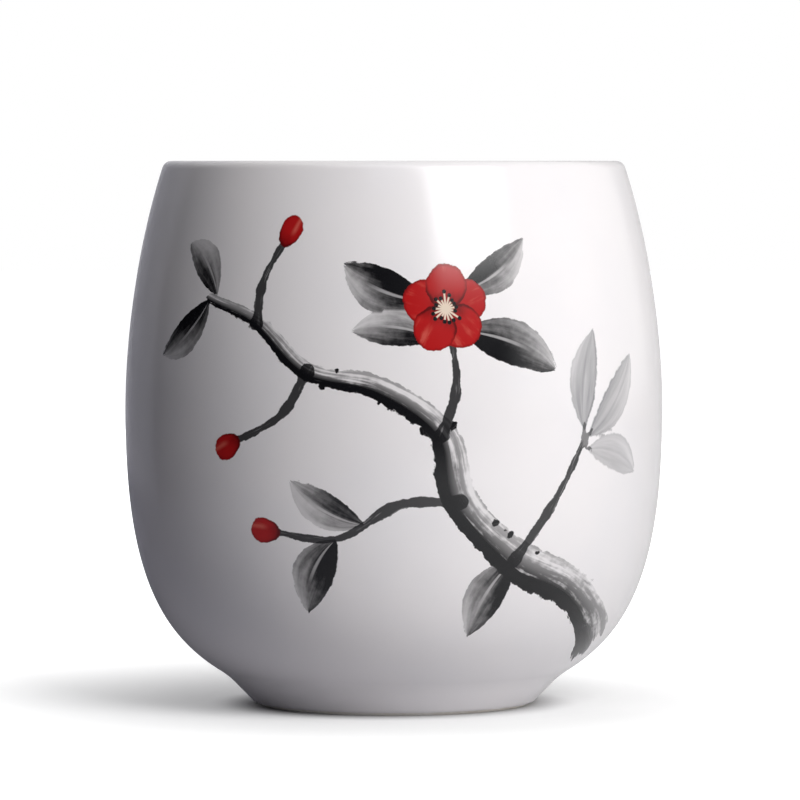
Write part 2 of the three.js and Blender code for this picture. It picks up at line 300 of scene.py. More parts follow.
@dataclass(frozen=True)
class CupForm:
    """The finished cup's outlines, in millimetres, as the solids have them."""

    height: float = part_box("inner_glaze")[1].z / MM
    belly_radius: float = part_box("outer_glaze")[1].x / MM
    lip_crest_radius: float = 30.6
    lip_radius: float = 1.4
    lip_lean: float = math.radians(18)
    belly_height: float = 40.5
    shoulder_fullness: float = 12.3
    shoulder_sweep: float = 9.0
    hip_fullness: float = 22.5
    hip_sweep: float = 9.4
    hip_slope: float = math.radians(32)
    wall_thickness: float = 3.2
    floor_height: float = 7.6
    floor_radius: float = 15.0
    inner_hip_fullness: float = 23.0
    inner_hip_sweep: float = 12.0
    foot_radius: float = 22.95
    foot_height: float = 4.0
    foot_taper: float = math.radians(44)
    foot_fillet: float = 1.5
    luting_height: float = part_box("foot_ring")[1].z / MM
    land_width: float = 2.0
    land_outer_round: float = 0.7
    land_inner_round: float = 0.6
    well_draft: float = math.radians(10)
    well_fillet: float = 0.5
    glaze: float = 0.3
    glaze_stop: float = 0.5
    edge_roll: float = 0.2
    seam: float = 0.02
    crease_steps: int = 8

    def _lip(self, end: float, steps: int) -> Stretch:
        """Samples the lip's round from its crest, with short steps there so that both glazes meet smoothly.

        Args:
            end: Last angle in radians, from the outward direction.
            steps: How many stretches to cut it into.

        Returns:
            The points, and the unit tangents at them.
        """
        angle = math.pi / 2 + (end - math.pi / 2) * np.linspace(0.0, 1.0, steps + 1)[:, None] ** 2
        way = math.copysign(1.0, end - math.pi / 2)
        centre = np.array((self.lip_crest_radius, self.height - self.lip_radius))
        points = centre + self.lip_radius * np.hstack((np.cos(angle), np.sin(angle)))
        return points, way * np.hstack((-np.sin(angle), np.cos(angle)))

    def _shoulder(self, top: np.ndarray, belly: Sequence[float], steps: int) -> Stretch:
        """Samples the wall from the lip's tangent point to the belly."""
        lean = np.array((math.sin(self.lip_lean), -math.cos(self.lip_lean)))
        handle = (belly[0], belly[1] + self.shoulder_fullness)
        return bezier((top, top + self.shoulder_sweep * lean, handle, belly), steps)

    @property
    def _foot_join(self) -> np.ndarray:
        """Gives the corner where the hip and the ring's side would meet."""
        return np.array((self.foot_radius, self.foot_height))

    @property
    def _foot_run(self) -> np.ndarray:
        """Gives the direction down the ring's side."""
        return np.array((-math.sin(self.foot_taper), -math.cos(self.foot_taper)))

    def bowl_outside(self, lip_steps: int, shoulder_steps: int, hip_steps: int) -> list[Stretch]:
        """Samples the outside from the lip's crest to the crease above the foot.

        Args:
            lip_steps: Stretches round the lip.
            shoulder_steps: Stretches from lip to belly.
            hip_steps: Stretches from belly to crease.

        Returns:
            The stretches, with the crest first.
        """
        lip = self._lip(self.lip_lean, lip_steps)
        belly = (self.belly_radius, self.belly_height)
        hip_run = np.array((math.cos(self.hip_slope), math.sin(self.hip_slope)))
        top = self._foot_join + self.foot_fillet * hip_run
        handle = (self.belly_radius, self.belly_height - self.hip_fullness)
        return [
            lip,
            self._shoulder(lip[0][-1], belly, shoulder_steps),
            bezier((belly, handle, top + self.hip_sweep * hip_run, top), hip_steps),
        ]

    def crease(self, top: np.ndarray) -> Stretch:
        """Samples the crease between the hip and the ring's side."""
        foot = self._foot_join + self.foot_fillet * self._foot_run
        return bezier((top, self._foot_join, foot), self.crease_steps)

    def ring_side(self, steps: int) -> Stretch:
        """Samples the ring's side down to where the glaze stops."""
        drop = (self.foot_height - self.glaze_stop) / math.cos(self.foot_taper)
        start = self._foot_join + self.foot_fillet * self._foot_run
        return bezier((start, self._foot_join + drop * self._foot_run), steps)

    def outside(self, lip_steps: int, shoulder_steps: int, hip_steps: int, side_steps: int) -> Wall:
        """Gives the whole outside, from the lip's crest to where the glaze stops on the foot ring."""
        bowl = self.bowl_outside(lip_steps, shoulder_steps, hip_steps)
        return Wall.join([*bowl, self.crease(bowl[-1][0][-1]), self.ring_side(side_steps)], 1.0)

    def inside(self, lip_steps: int, shoulder_steps: int, hip_steps: int, floor_steps: int) -> Wall:
        """Gives the whole inside, from the lip's crest to the middle of the floor.

        Args:
            lip_steps: Stretches round the lip.
            shoulder_steps: Stretches from lip to belly.
            hip_steps: Stretches from belly to floor.
            floor_steps: Stretches across the floor.

        Returns:
            The wall.
        """
        lip = self._lip(math.pi + self.lip_lean, lip_steps)
        belly = (self.belly_radius - self.wall_thickness, self.belly_height)
        handle = (belly[0], self.belly_height - self.inner_hip_fullness)
        edge = (self.floor_radius, self.floor_height)
        beside = (self.floor_radius + self.inner_hip_sweep, self.floor_height)
        stretches = (
            lip,
            self._shoulder(lip[0][-1], belly, shoulder_steps),
            bezier((belly, handle, beside, edge), hip_steps),
            bezier((edge, (0.0, self.floor_height)), floor_steps),
        )
        return Wall.join(stretches, -1.0)

    def outer_glaze_outline(self) -> np.ndarray:
        """Outlines the outer coat: fine rows on the painted face, few behind it, a rolled edge."""
        face = self.outside(12, 100, 100, 6)
        back = self.outside(4, 8, 8, 1).sunk(self.glaze)
        stop, behind = face.points[-1], back[-1]
        below = self.edge_roll * self._foot_run
        roll = bezier((behind, behind + below, stop + below, stop), 6)[0]
        return np.vstack((back, roll[1:-1], face.upward()))[:-1]

    def inner_glaze_outline(self) -> np.ndarray:
        """Outlines the inner coat, which starts and ends on the axis."""
        back = self.inside(4, 10, 12, 3).upward(self.glaze)
        return np.vstack((back, self.inside(12, 60, 70, 16).points))

    def bowl_outline(self) -> np.ndarray:
        """Outlines the biscuit under the coats, down to the face that the ring is luted to."""
        depth = self.glaze + self.seam
        bowl = self.bowl_outside(6, 24, 24)
        points, tangents = self.crease(bowl[-1][0][-1])
        half = self.crease_steps // 2 + 1
        wall = Wall.join([*bowl, (points[:half], tangents[:half])], 1.0)
        lining = self.inside(6, 24, 24, 4).sunk(depth)
        return np.vstack(((0.0, self.luting_height), wall.upward(depth), lining))

    @property
    def _well(self) -> tuple[np.ndarray, np.ndarray]:
        """Gives the foot and the top of the well's wall."""
        radius = self.foot_radius - self.foot_height * math.tan(self.foot_taper) - self.land_outer_round
        foot = np.array((radius - self.land_width - self.land_inner_round, self.land_inner_round))
        rise = self.luting_height - self.land_inner_round
        return foot, np.array((foot[0] - rise * math.tan(self.well_draft), self.luting_height))

    def foot_ring_outline(self) -> np.ndarray:
        """Outlines the ring: down its well wall, across the bare land, and up its side under the glaze."""
        foot, top = self._well
        points, tangents = self.crease(self.bowl_outside(1, 1, 1)[-1][0][-1])
        half = self.crease_steps // 2
        wall = Wall.join([(points[half:], tangents[half:]), self.ring_side(4)], 1.0)
        side = wall.upward(self.glaze + self.seam)
        inner = foot[0] + self.land_inner_round
        outer = inner + self.land_width
        return np.vstack(
            (
                top,
                bezier((foot, (foot[0], 0.0), (inner, 0.0)), 8)[0],
                bezier(((outer, 0.0), (outer + self.land_outer_round / 2, 0.0), side[0]), 10)[0][:-1],
                side,
            )
        )

    def well_glaze_outline(self) -> np.ndarray:
        """Outlines the glazed island under the bowl, pooled in its corner, with a rolled edge."""
        foot, top = self._well
        up = (top - foot) / np.linalg.norm(top - foot)
        skirt_top = top - (self.seam, 0.0)
        skirt_foot = skirt_top - up * (self.luting_height - self.glaze_stop) / up[1]
        corner = np.array((skirt_top[0] - self.glaze, self.luting_height - self.glaze))
        edge = skirt_foot - (self.glaze, 0.0)
        below = self.edge_roll * up
        return np.vstack(
            (
                bezier(((0.0, corner[1]), corner - (self.well_fillet, 0.0)), 8)[0],
                bezier((corner - (self.well_fillet, 0.0), corner, corner - self.well_fillet * up), 6)[0][1:],
                bezier((edge, edge - below, skirt_foot - below, skirt_foot), 6)[0],
                bezier((skirt_top, (0.0, self.luting_height)), 2)[0],
            )
        )


# Turning


class PottersWheel:
    """Turns a closed outline about the cup's axis with a geometry node tree."""

    def __init__(self) -> None:
        """Lays out the tree once for all the turned pieces."""
        self.tree = bpy.data.node_groups.new("turned_on_the_wheel", "GeometryNodeTree")
        self.sockets: dict[str, str] = {}
        for name, kind in (
            ("Outline", "NodeSocketGeometry"),
            ("Rows", "NodeSocketInt"),
            ("Columns", "NodeSocketInt"),
            ("Evenness", "NodeSocketFloat"),
            ("Material", "NodeSocketMaterial"),
        ):
            socket = self.tree.interface.new_socket(name, in_out="INPUT", socket_type=kind)
            self.sockets[name] = socket.identifier
        self.tree.interface.new_socket("Turned", in_out="OUTPUT", socket_type="NodeSocketGeometry")
        self._lay_out()

    def _lay_out(self) -> None:
        """Wraps a grid round the axis: each column is the outline, turned by its own angle."""
        tree = self.tree
        given = add_node(tree, "NodeGroupInput").outputs
        rows, columns, evenness = (Signal(tree, given[name]) for name in ("Rows", "Columns", "Evenness"))
        grid = add_node(tree, "GeometryNodeMeshGrid", {"Vertices X": columns, "Vertices Y": rows})
        index = Signal.of(tree, "GeometryNodeInputIndex", {})
        row = index.math("MODULO", rows)
        column = ((index + 0.5) / rows).math("FLOOR")
        place = column / (columns - 1.0) * 2.0 - 1.0
        bend = (evenness - 1.0) * -1.0 * place * place + evenness
        angle = place * bend * math.pi
        where = add_node(tree, "GeometryNodeInputPosition").outputs[0]
        inputs = {"Geometry": given["Outline"], "Index": row, "Value": where}
        station = add_node(tree, "GeometryNodeSampleIndex", inputs, data_type="FLOAT_VECTOR")
        inputs = {"Vector": station.outputs[0], "Angle": angle}
        turned = add_node(tree, "ShaderNodeVectorRotate", inputs, rotation_type="Z_AXIS")
        shape = grid.outputs["Mesh"]
        for kind, inputs, options in (
            ("SetPosition", {"Position": turned.outputs[0]}, {}),
            (
                "StoreNamedAttribute",
                {"Name": "OFBake", "Value": grid.outputs["UV Map"]},
                {"data_type": "FLOAT2", "domain": "CORNER"},
            ),
            ("MergeByDistance", {"Distance": WELD_DISTANCE}, {}),
            ("SetShadeSmooth", {}, {}),
            ("RealizeInstances", {}, {}),
            ("SetMaterial", {"Material": given["Material"]}, {}),
        ):
            node = add_node(tree, f"GeometryNode{kind}", {"Geometry": shape, **inputs}, **options)
            shape = node.outputs[0]
        add_node(tree, "NodeGroupOutput", {0: shape})

    def turn(
        self, name: str, outline: np.ndarray, columns: int, material: Material, evenness: float = 1.0
    ) -> Piece:
        """Turns one piece.

        Args:
            name: The piece's name.
            outline: Radius and height round it, clay on the left; it may start and end on the axis.
            columns: How many copies of the outline stand round the axis, the seam counted twice.
            material: What the piece is dressed in.
            evenness: 1 for even columns; less crowds them towards the painted front.

        Returns:
            A plain mesh object at the origin.
        """
        loop = MM * (outline if outline[0, 0] == 0 else np.vstack((outline, outline[:1])))
        mesh = bpy.data.meshes.new(f"{name}_outline")
        edges = [(i, i + 1) for i in range(len(loop) - 1)]
        mesh.from_pydata([(0.0, -radius, height) for radius, height in loop], edges, [])
        blank = add_object(f"{name}_outline", mesh)
        modifier = blank.modifiers.new("wheel", "NODES")
        modifier.node_group = self.tree
        values = {"Rows": len(loop), "Columns": columns, "Evenness": evenness, "Material": material}
        for key, value in values.items():
            modifier[self.sockets[key]] = value
        evaluated = blank.evaluated_get(bpy.context.evaluated_depsgraph_get())
        turned = bpy.data.meshes.new_from_object(evaluated)
        turned.name = name
        turned.set_sharp_from_angle(angle=SHARP_ANGLE)
        bpy.data.objects.remove(blank)
        bpy.data.meshes.remove(mesh)
        return add_object(name, turned)


# Painting

Place = tuple[float, float]
LEAF_FIELDS = ("edge", "along", "across", "tone", "seed")


@dataclass
class Canvas:
    """The outer glaze unrolled flat, with the fields that the painted glaze's shader reads."""

    place: np.ndarray
    fields: dict[str, np.ndarray] = field(default_factory=dict)
    margin: float = 1.5

    @classmethod
    def unroll(cls, mesh: bpy.types.Mesh, radius: float) -> "Canvas":
        """Unrolls a turned mesh.

        Args:
            mesh: The piece to paint.
            radius: The belly's radius in millimetres, which sets the scale across.

        Returns:
            A bare canvas, with one place for each vertex: across from the front's middle, and up.
        """
        points = np.empty(len(mesh.vertices) * 3, np.float32)
        mesh.vertices.foreach_get("co", points)
        x, y, z = points.reshape(-1, 3).T.astype(float) / MM
        return cls(np.column_stack((radius * np.arctan2(x, -y), z)))

    def near(self, points: np.ndarray, reach: float) -> np.ndarray:
        """Finds the vertices within reach of a cluster of points.

        Args:
            points: The cluster.
            reach: How far beyond it to look.

        Returns:
            Their numbers.
        """
        spare = reach + self.margin
        low, high = points.min(axis=0) - spare, points.max(axis=0) + spare
        return np.flatnonzero(((self.place >= low) & (self.place <= high)).all(axis=1))

    def lay(self, layer: Layer, rows: np.ndarray, edge: np.ndarray, **values: np.ndarray | float) -> None:
        """Lays paint where it covers more deeply than what the layer holds.

        Args:
            layer: The painter's layer.
            rows: Which vertices.
            edge: How far each lies inside the paint's edge, in millimetres; less than 0 is outside.
            values: Other fields of the layer.
        """
        held = self._field(f"{layer.value}_edge", -self.margin)
        deeper = edge > held[rows]
        held[rows[deeper]] = edge[deeper]
        for name, value in values.items():
            spread = np.broadcast_to(value, edge.shape)
            self._field(f"{layer.value}_{name}", 0.0)[rows[deeper]] = spread[deeper]

    def _field(self, name: str, empty: float) -> np.ndarray:
        """Gives a field by name, made on first use."""
        return self.fields.setdefault(name, np.full(len(self.place), empty))

    def write(self, mesh: bpy.types.Mesh) -> None:
        """Stores every field on the mesh's vertices."""
        for name, values in self.fields.items():
            attribute = mesh.attributes.new(name, "FLOAT", "POINT")
            attribute.data.foreach_set("value", values.astype(np.float32))


@dataclass(frozen=True)
class BrushStroke:
    """One stroke of a loaded brush: its way over the unrolled wall, and how wide it is pressed."""

    layer: Layer
    way: tuple[Place, ...]
    width: float
    tip_width: float
    tone: float = 1.0
    knots: float = 0.0
    steps: int = 8
    knot_beats: tuple[float, float] = (23.0, 9.0)
    lift: float = 0.8
    streak_shift: float = 17.0

    def path(self) -> np.ndarray:
        """Samples a Catmull-Rom curve through the stroke's places."""
        points = np.asarray(self.way, float)
        ends = np.vstack((2 * points[0] - points[1], points, 2 * points[-1] - points[-2]))
        share = np.linspace(0.0, 1.0, self.steps, endpoint=False)[:, None]
        spans = []
        for a, b, c, d in zip(ends, ends[1:], ends[2:], ends[3:]):
            square, cube = 2 * a - 5 * b + 4 * c - d, 3 * b - a - 3 * c + d
            spans.append(0.5 * (2 * b + (c - a) * share + square * share**2 + cube * share**3))
        return np.vstack((*spans, points[-1:]))

    def half_widths(self, count: int) -> np.ndarray:
        """Gives the half widths: pressed at the start, lifted at the tip, swollen at knots.

        Args:
            count: How many samples the path has.

        Returns:
            One for each sample.
        """
        share = np.linspace(0.0, 1.0, count)
        quick, slow = self.knot_beats
        swell = 1.0 + self.knots * np.sin(share * quick + self.width) * np.sin(share * slow + 1.0)
        return 0.5 * (self.width + (self.tip_width - self.width) * share**self.lift) * swell

    def spread(self, canvas: Canvas) -> None:
        """Lays the stroke on a canvas.

        Args:
            canvas: The unrolled glaze.
        """
        points = self.path()
        halves = self.half_widths(len(points))
        rows = canvas.near(points, halves.max())
        place = canvas.place[rows]
        edge = np.full(len(rows), -np.inf)
        along, across = np.zeros(len(rows)), np.zeros(len(rows))
        gone = 0.0
        for start, end, wide, narrow in zip(points, points[1:], halves, halves[1:]):
            run = end - start
            length = float(np.linalg.norm(run))
            share = np.clip((place - start) @ run / length**2, 0.0, 1.0)
            off = place - start - share[:, None] * run
            half = wide + (narrow - wide) * share
            inside = half - np.linalg.norm(off, axis=1)
            better = inside > edge
            edge[better] = inside[better]
            along[better] = gone + length * share[better]
            across[better] = ((run[0] * off[:, 1] - run[1] * off[:, 0]) / length / half)[better]
            gone += length
        shift = self.streak_shift * self.way[0][0]
        values = {"along": along + shift, "across": across, "share": along / gone, "tone": self.tone}
        canvas.lay(self.layer, rows, edge, **values)


@dataclass(frozen=True)
class Leaf:
    """One leaf in a single press of the brush, laid at its foot, bowed to one side and lifted to a point."""

    layer: Layer
    foot: Place
    tip: Place
    width: float
    bow: float
    tone: float
    handles: tuple[float, float] = (0.3, 0.74)
    samples: int = 61
    edge_slope: float = 0.9
    least_half: float = 0.3
    seed_step: float = 7.0

    def spread(self, canvas: Canvas) -> None:
        """Lays the leaf on a canvas, with its own coordinates along and across the midrib.

        Args:
            canvas: The unrolled glaze.
        """
        foot, tip = np.array(self.foot), np.array(self.tip)
        length = float(np.linalg.norm(tip - foot))
        run = (tip - foot) / length
        rows = canvas.near(np.vstack((foot, tip)), self.width)
        off = canvas.place[rows] - foot
        along, aside = off @ run, off @ np.array((-run[1], run[0]))
        step = np.linspace(0.0, 1.0, self.samples)
        near, far = self.handles
        reach = 3 * (1 - step) ** 2 * step * near + 3 * (1 - step) * step**2 * far + step**3
        share = np.interp(along / length, reach, step)
        full = 4 * share * (1 - share)
        half = 0.5 * self.width * full
        from_rib = aside - self.bow * full
        beyond = np.maximum(np.maximum(-along, along - length), 0.0)
        inside = self.edge_slope * (half - np.abs(from_rib))
        edge = np.where(beyond > 0, -np.hypot(beyond, aside), inside)
        across = np.clip(from_rib / np.maximum(half, self.least_half), -1.5, 1.5)
        across = across * math.copysign(1.0, self.bow)
        seed = self.seed_step * self.foot[1]
        canvas.lay(self.layer, rows, edge, along=along / length, across=across, tone=self.tone, seed=seed)


@dataclass(frozen=True)
class Bloom:
    """An open flower seen from the front; the shader draws its petals from the coordinates laid here."""

    centre: Place
    radius: float
    turn: float
    spare: float = 1.25

    def spread(self, canvas: Canvas) -> None:
        """Lays the flower's own coordinates, in radii, a little beyond its petals.

        Args:
            canvas: The unrolled glaze.
        """
        reach = self.spare * self.radius
        rows = canvas.near(np.array([self.centre]), reach)
        x, y = ((canvas.place[rows] - self.centre) / self.radius).T
        cos, sin = math.cos(self.turn), math.sin(self.turn)
        edge = reach - self.radius * np.hypot(x, y)
        canvas.lay(Layer.BLOOM, rows, edge, x=x * cos + y * sin, y=y * cos - x * sin)


@dataclass(frozen=True)
class Bud:
    """A closed bud: one press of the brush, fuller at its far end."""

    centre: Place
    length: float
    width: float
    turn: float
    fullness: float = 0.18

    def spread(self, canvas: Canvas) -> None:
        """Lays the bud on a canvas.

        Args:
            canvas: The unrolled glaze.
        """
        rows = canvas.near(np.array([self.centre]), self.length)
        x, y = (canvas.place[rows] - self.centre).T
        cos, sin = math.cos(self.turn), math.sin(self.turn)
        out = (x * cos + y * sin) / (self.length / 2)
        side = (y * cos - x * sin) / (self.width / 2)
        narrowed = side * (1.0 - self.fullness * np.clip(out, -1, 1))
        edge = (1.0 - np.hypot(out, narrowed)) * 0.5 * self.width
        canvas.lay(Layer.BUD, rows, edge, along=out, across=side)


Mark = BrushStroke | Leaf | Bloom | Bud


class Tip(Enum):
    """What a twig ends in."""

    BLOOM = "bloom"
    BUD = "bud"
    LEAVES = "leaves"


@dataclass(frozen=True)
class Twig:
    """A side shoot: the bough's place that it leaves, the places it passes, and what it ends in."""

    leaves: int
    passes: tuple[Place, ...]
    tip: Tip


@dataclass(frozen=True)
class LeafPlace:
    """Where a leaf lies on the cup, which way it bows (1 is left of its way), how much ink the brush held,
    and whether it was pressed broad."""

    foot: Place
    tip: Place
    bow: float
    tone: float
    broad: bool = False


@dataclass(frozen=True)
class CamelliaBranch:
    """A camellia branch over the front of the cup: an ink bough, twigs and leaves, pale leaves behind, one
    red flower and three buds.

    Places are turns in degrees from the front's middle and shares of the cup's height.
    """

    form: CupForm
    bough: tuple[Place, ...] = (
        (62, 0.14), (44, 0.235), (27, 0.295), (14, 0.4), (10, 0.52),
        (-3, 0.6), (-18, 0.63), (-30, 0.715), (-43, 0.755),
    )
    twigs: tuple[Twig, ...] = (
        Twig(4, ((13, 0.61), (11, 0.74)), Tip.BLOOM),
        Twig(6, ((-24, 0.55), (-36.5, 0.495)), Tip.BUD),
        Twig(3, ((1, 0.395), (-12, 0.335), (-28, 0.347)), Tip.BUD),
        Twig(7, ((-29, 0.79), (-23.5, 0.875)), Tip.BUD),
        Twig(2, ((36, 0.4), (43, 0.5)), Tip.LEAVES),
    )
    ink_leaves: tuple[LeafPlace, ...] = (
        LeafPlace((14, 0.7), (36, 0.63), 1, 1.0, broad=True),
        LeafPlace((14, 0.77), (30, 0.865), -1, 0.94),
        LeafPlace((7, 0.755), (-11, 0.82), 1, 1.0, broad=True),
        LeafPlace((9, 0.685), (-9, 0.7), -1, 0.86),
        LeafPlace((-43, 0.755), (-58, 0.65), 1, 0.95),
        LeafPlace((-41, 0.76), (-52, 0.855), -1, 0.84),
        LeafPlace((-12, 0.335), (-20, 0.2), -1, 0.97, broad=True),
        LeafPlace((-6, 0.36), (-22, 0.44), 1, 0.82),
        LeafPlace((27, 0.295), (18, 0.155), -1, 0.95, broad=True),
    )
    pale_leaves: tuple[LeafPlace, ...] = (
        LeafPlace((44.3, 0.508), (60, 0.655), -1, 0.9),
        LeafPlace((44.2, 0.487), (62, 0.44), 1, 0.7),
        LeafPlace((43.2, 0.521), (47, 0.7), 1, 1.0),
    )
    bough_widths: tuple[float, float] = (7.5, 1.3)
    bough_knots: float = 0.14
    twig_widths: tuple[float, float] = (1.8, 0.8)
    twig_knots: float = 0.3
    twig_tone: float = 0.95
    stalk_widths: tuple[float, float] = (1.1, 0.55)
    stalk_reach: float = 0.09
    stalk_tone: float = 0.75
    sepal_widths: tuple[float, float] = (1.0, 0.4)
    sepal_length: float = 1.6
    sepal_seat: float = 0.44
    sepal_leans: tuple[float, ...] = (-0.6, 0.0, 0.6)
    bloom_radius: float = 6.0
    bloom_turn: float = math.radians(20)
    bud_length: float = 4.6
    bud_width: float = 3.4
    broad_leaf: float = 6.2
    narrow_leaf: float = 5.0
    leaf_bow: float = 1.2
    moss_dots: int = 12
    seed: int = 11

    def _way(self, places: Sequence[Place]) -> tuple[Place, ...]:
        """Turns degrees and shares of the height into millimetres on the unrolled wall."""
        radius, height = self.form.belly_radius, self.form.height
        return tuple((radius * math.radians(turn), height * share) for turn, share in places)

    def _moss(self, bough: BrushStroke) -> list[Mark]:
        """Dots the bough's two edges with short dark dabs."""
        chance = np.random.default_rng(self.seed)
        path = bough.path()
        halves = bough.half_widths(len(path))
        dots: list[Mark] = []
        for spot in chance.choice(np.arange(20, len(path) - 6), self.moss_dots, replace=False):
            run = path[spot + 1] - path[spot]
            out = np.array((-run[1], run[0])) / np.linalg.norm(run) * chance.choice((-1.0, 1.0))
            start = path[spot] + out * halves[spot] * chance.uniform(0.75, 1.05)
            end = start + out * chance.uniform(0.1, 0.5) + run * chance.uniform(-0.4, 0.4)
            size = chance.uniform(0.5, 1.1)
            dots.append(BrushStroke(Layer.LINE, (tuple(start), tuple(end)), size, size * 0.8))
        return dots

    def _shoot(self, twig: Twig) -> list[Mark]:
        """Paints one twig with its flower, its bud and sepals, or its stalks to the pale leaves."""
        way = self._way((self.bough[twig.leaves], *twig.passes))
        stem = BrushStroke(Layer.LINE, way, *self.twig_widths, tone=self.twig_tone, knots=self.twig_knots)
        marks: list[Mark] = [stem]
        if twig.tip is Tip.LEAVES:
            for leaf in self.pale_leaves:
                foot, tip = (np.array(place) for place in self._way((leaf.foot, leaf.tip)))
                stalk = (way[-1], tuple(foot + self.stalk_reach * (tip - foot)))
                marks.append(BrushStroke(Layer.LINE, stalk, *self.stalk_widths, tone=self.stalk_tone))
        if twig.tip is Tip.BLOOM:
            marks.append(Bloom(way[-1], self.bloom_radius, self.bloom_turn))
        if twig.tip is Tip.BUD:
            run = np.subtract(way[-1], way[-2])
            turn = math.atan2(run[1], run[0])
            marks.append(Bud(way[-1], self.bud_length, self.bud_width, turn))
            back = self.sepal_seat * self.bud_length
            base = np.array(way[-1]) - back * np.array((math.cos(turn), math.sin(turn)))
            for lean in self.sepal_leans:
                sepal = base + self.sepal_length * np.array((math.cos(turn + lean), math.sin(turn + lean)))
                marks.append(BrushStroke(Layer.LINE, (tuple(base), tuple(sepal)), *self.sepal_widths))
        return marks

    def _leaf(self, layer: Layer, leaf: LeafPlace) -> Mark:
        """Paints one leaf."""
        width = self.broad_leaf if leaf.broad else self.narrow_leaf
        return Leaf(layer, *self._way((leaf.foot, leaf.tip)), width, self.leaf_bow * leaf.bow, leaf.tone)

    def marks(self) -> list[Mark]:
        """Gives every mark of the brush, in the order that it is painted."""
        way = self._way(self.bough)
        bough = BrushStroke(Layer.BOUGH, way, *self.bough_widths, knots=self.bough_knots, steps=12)
        marks = [self._leaf(Layer.WASH, leaf) for leaf in self.pale_leaves]
        marks += [self._leaf(Layer.LEAF, leaf) for leaf in self.ink_leaves]
        marks += [bough, *self._moss(bough)]
        for twig in self.twigs:
            marks += self._shoot(twig)
        return marks

    def paint(self, mesh: bpy.types.Mesh) -> int:
        """Paints a turned mesh.

        Args:
            mesh: The outer glaze.

        Returns:
            How many marks were laid.
        """
        canvas = Canvas.unroll(mesh, self.form.belly_radius)
        marks = self.marks()
        for mark in marks:
            mark.spread(canvas)
        canvas.write(mesh)
        return len(marks)


# Finishes


@dataclass(frozen=True)
class DippedGlaze:
    """Clear porcelain glaze, dipped and fired: a white, glassy skin whose thickness drifts, so that it is a
    touch cooler where it pools and its reflections waver slightly."""

    name: str = "porcelain_glaze_dipped_and_fired"
    white: str = "#F3EFF0"
    pooled: str = "#EFECEE"
    drift_mm: float = 18.0
    ripple_mm: float = 7.0
    ripple_height_mm: float = 0.004
    gloss: tuple[float, float] = (0.17, 0.22)

    def material(self) -> Material:
        """Makes the material."""
        material, tree = new_material(self.name)
        drift = noise(tree, self.drift_mm, 2.0)
        ripple = noise(tree, self.ripple_mm, 1.0)
        low, high = self.gloss
        rough = noise(tree, self.ripple_mm / 3, 2.0) * (high - low) + low
        fire(tree, self.colour(tree, drift), rough, ripple * self.ripple_height_mm)
        return material

    def colour(self, tree: Tree, drift: Signal) -> Socket:
        """Mixes the glaze's white by its thickness."""
        return mix(drift.ramp(0.35, 0.75), self.white, self.pooled)


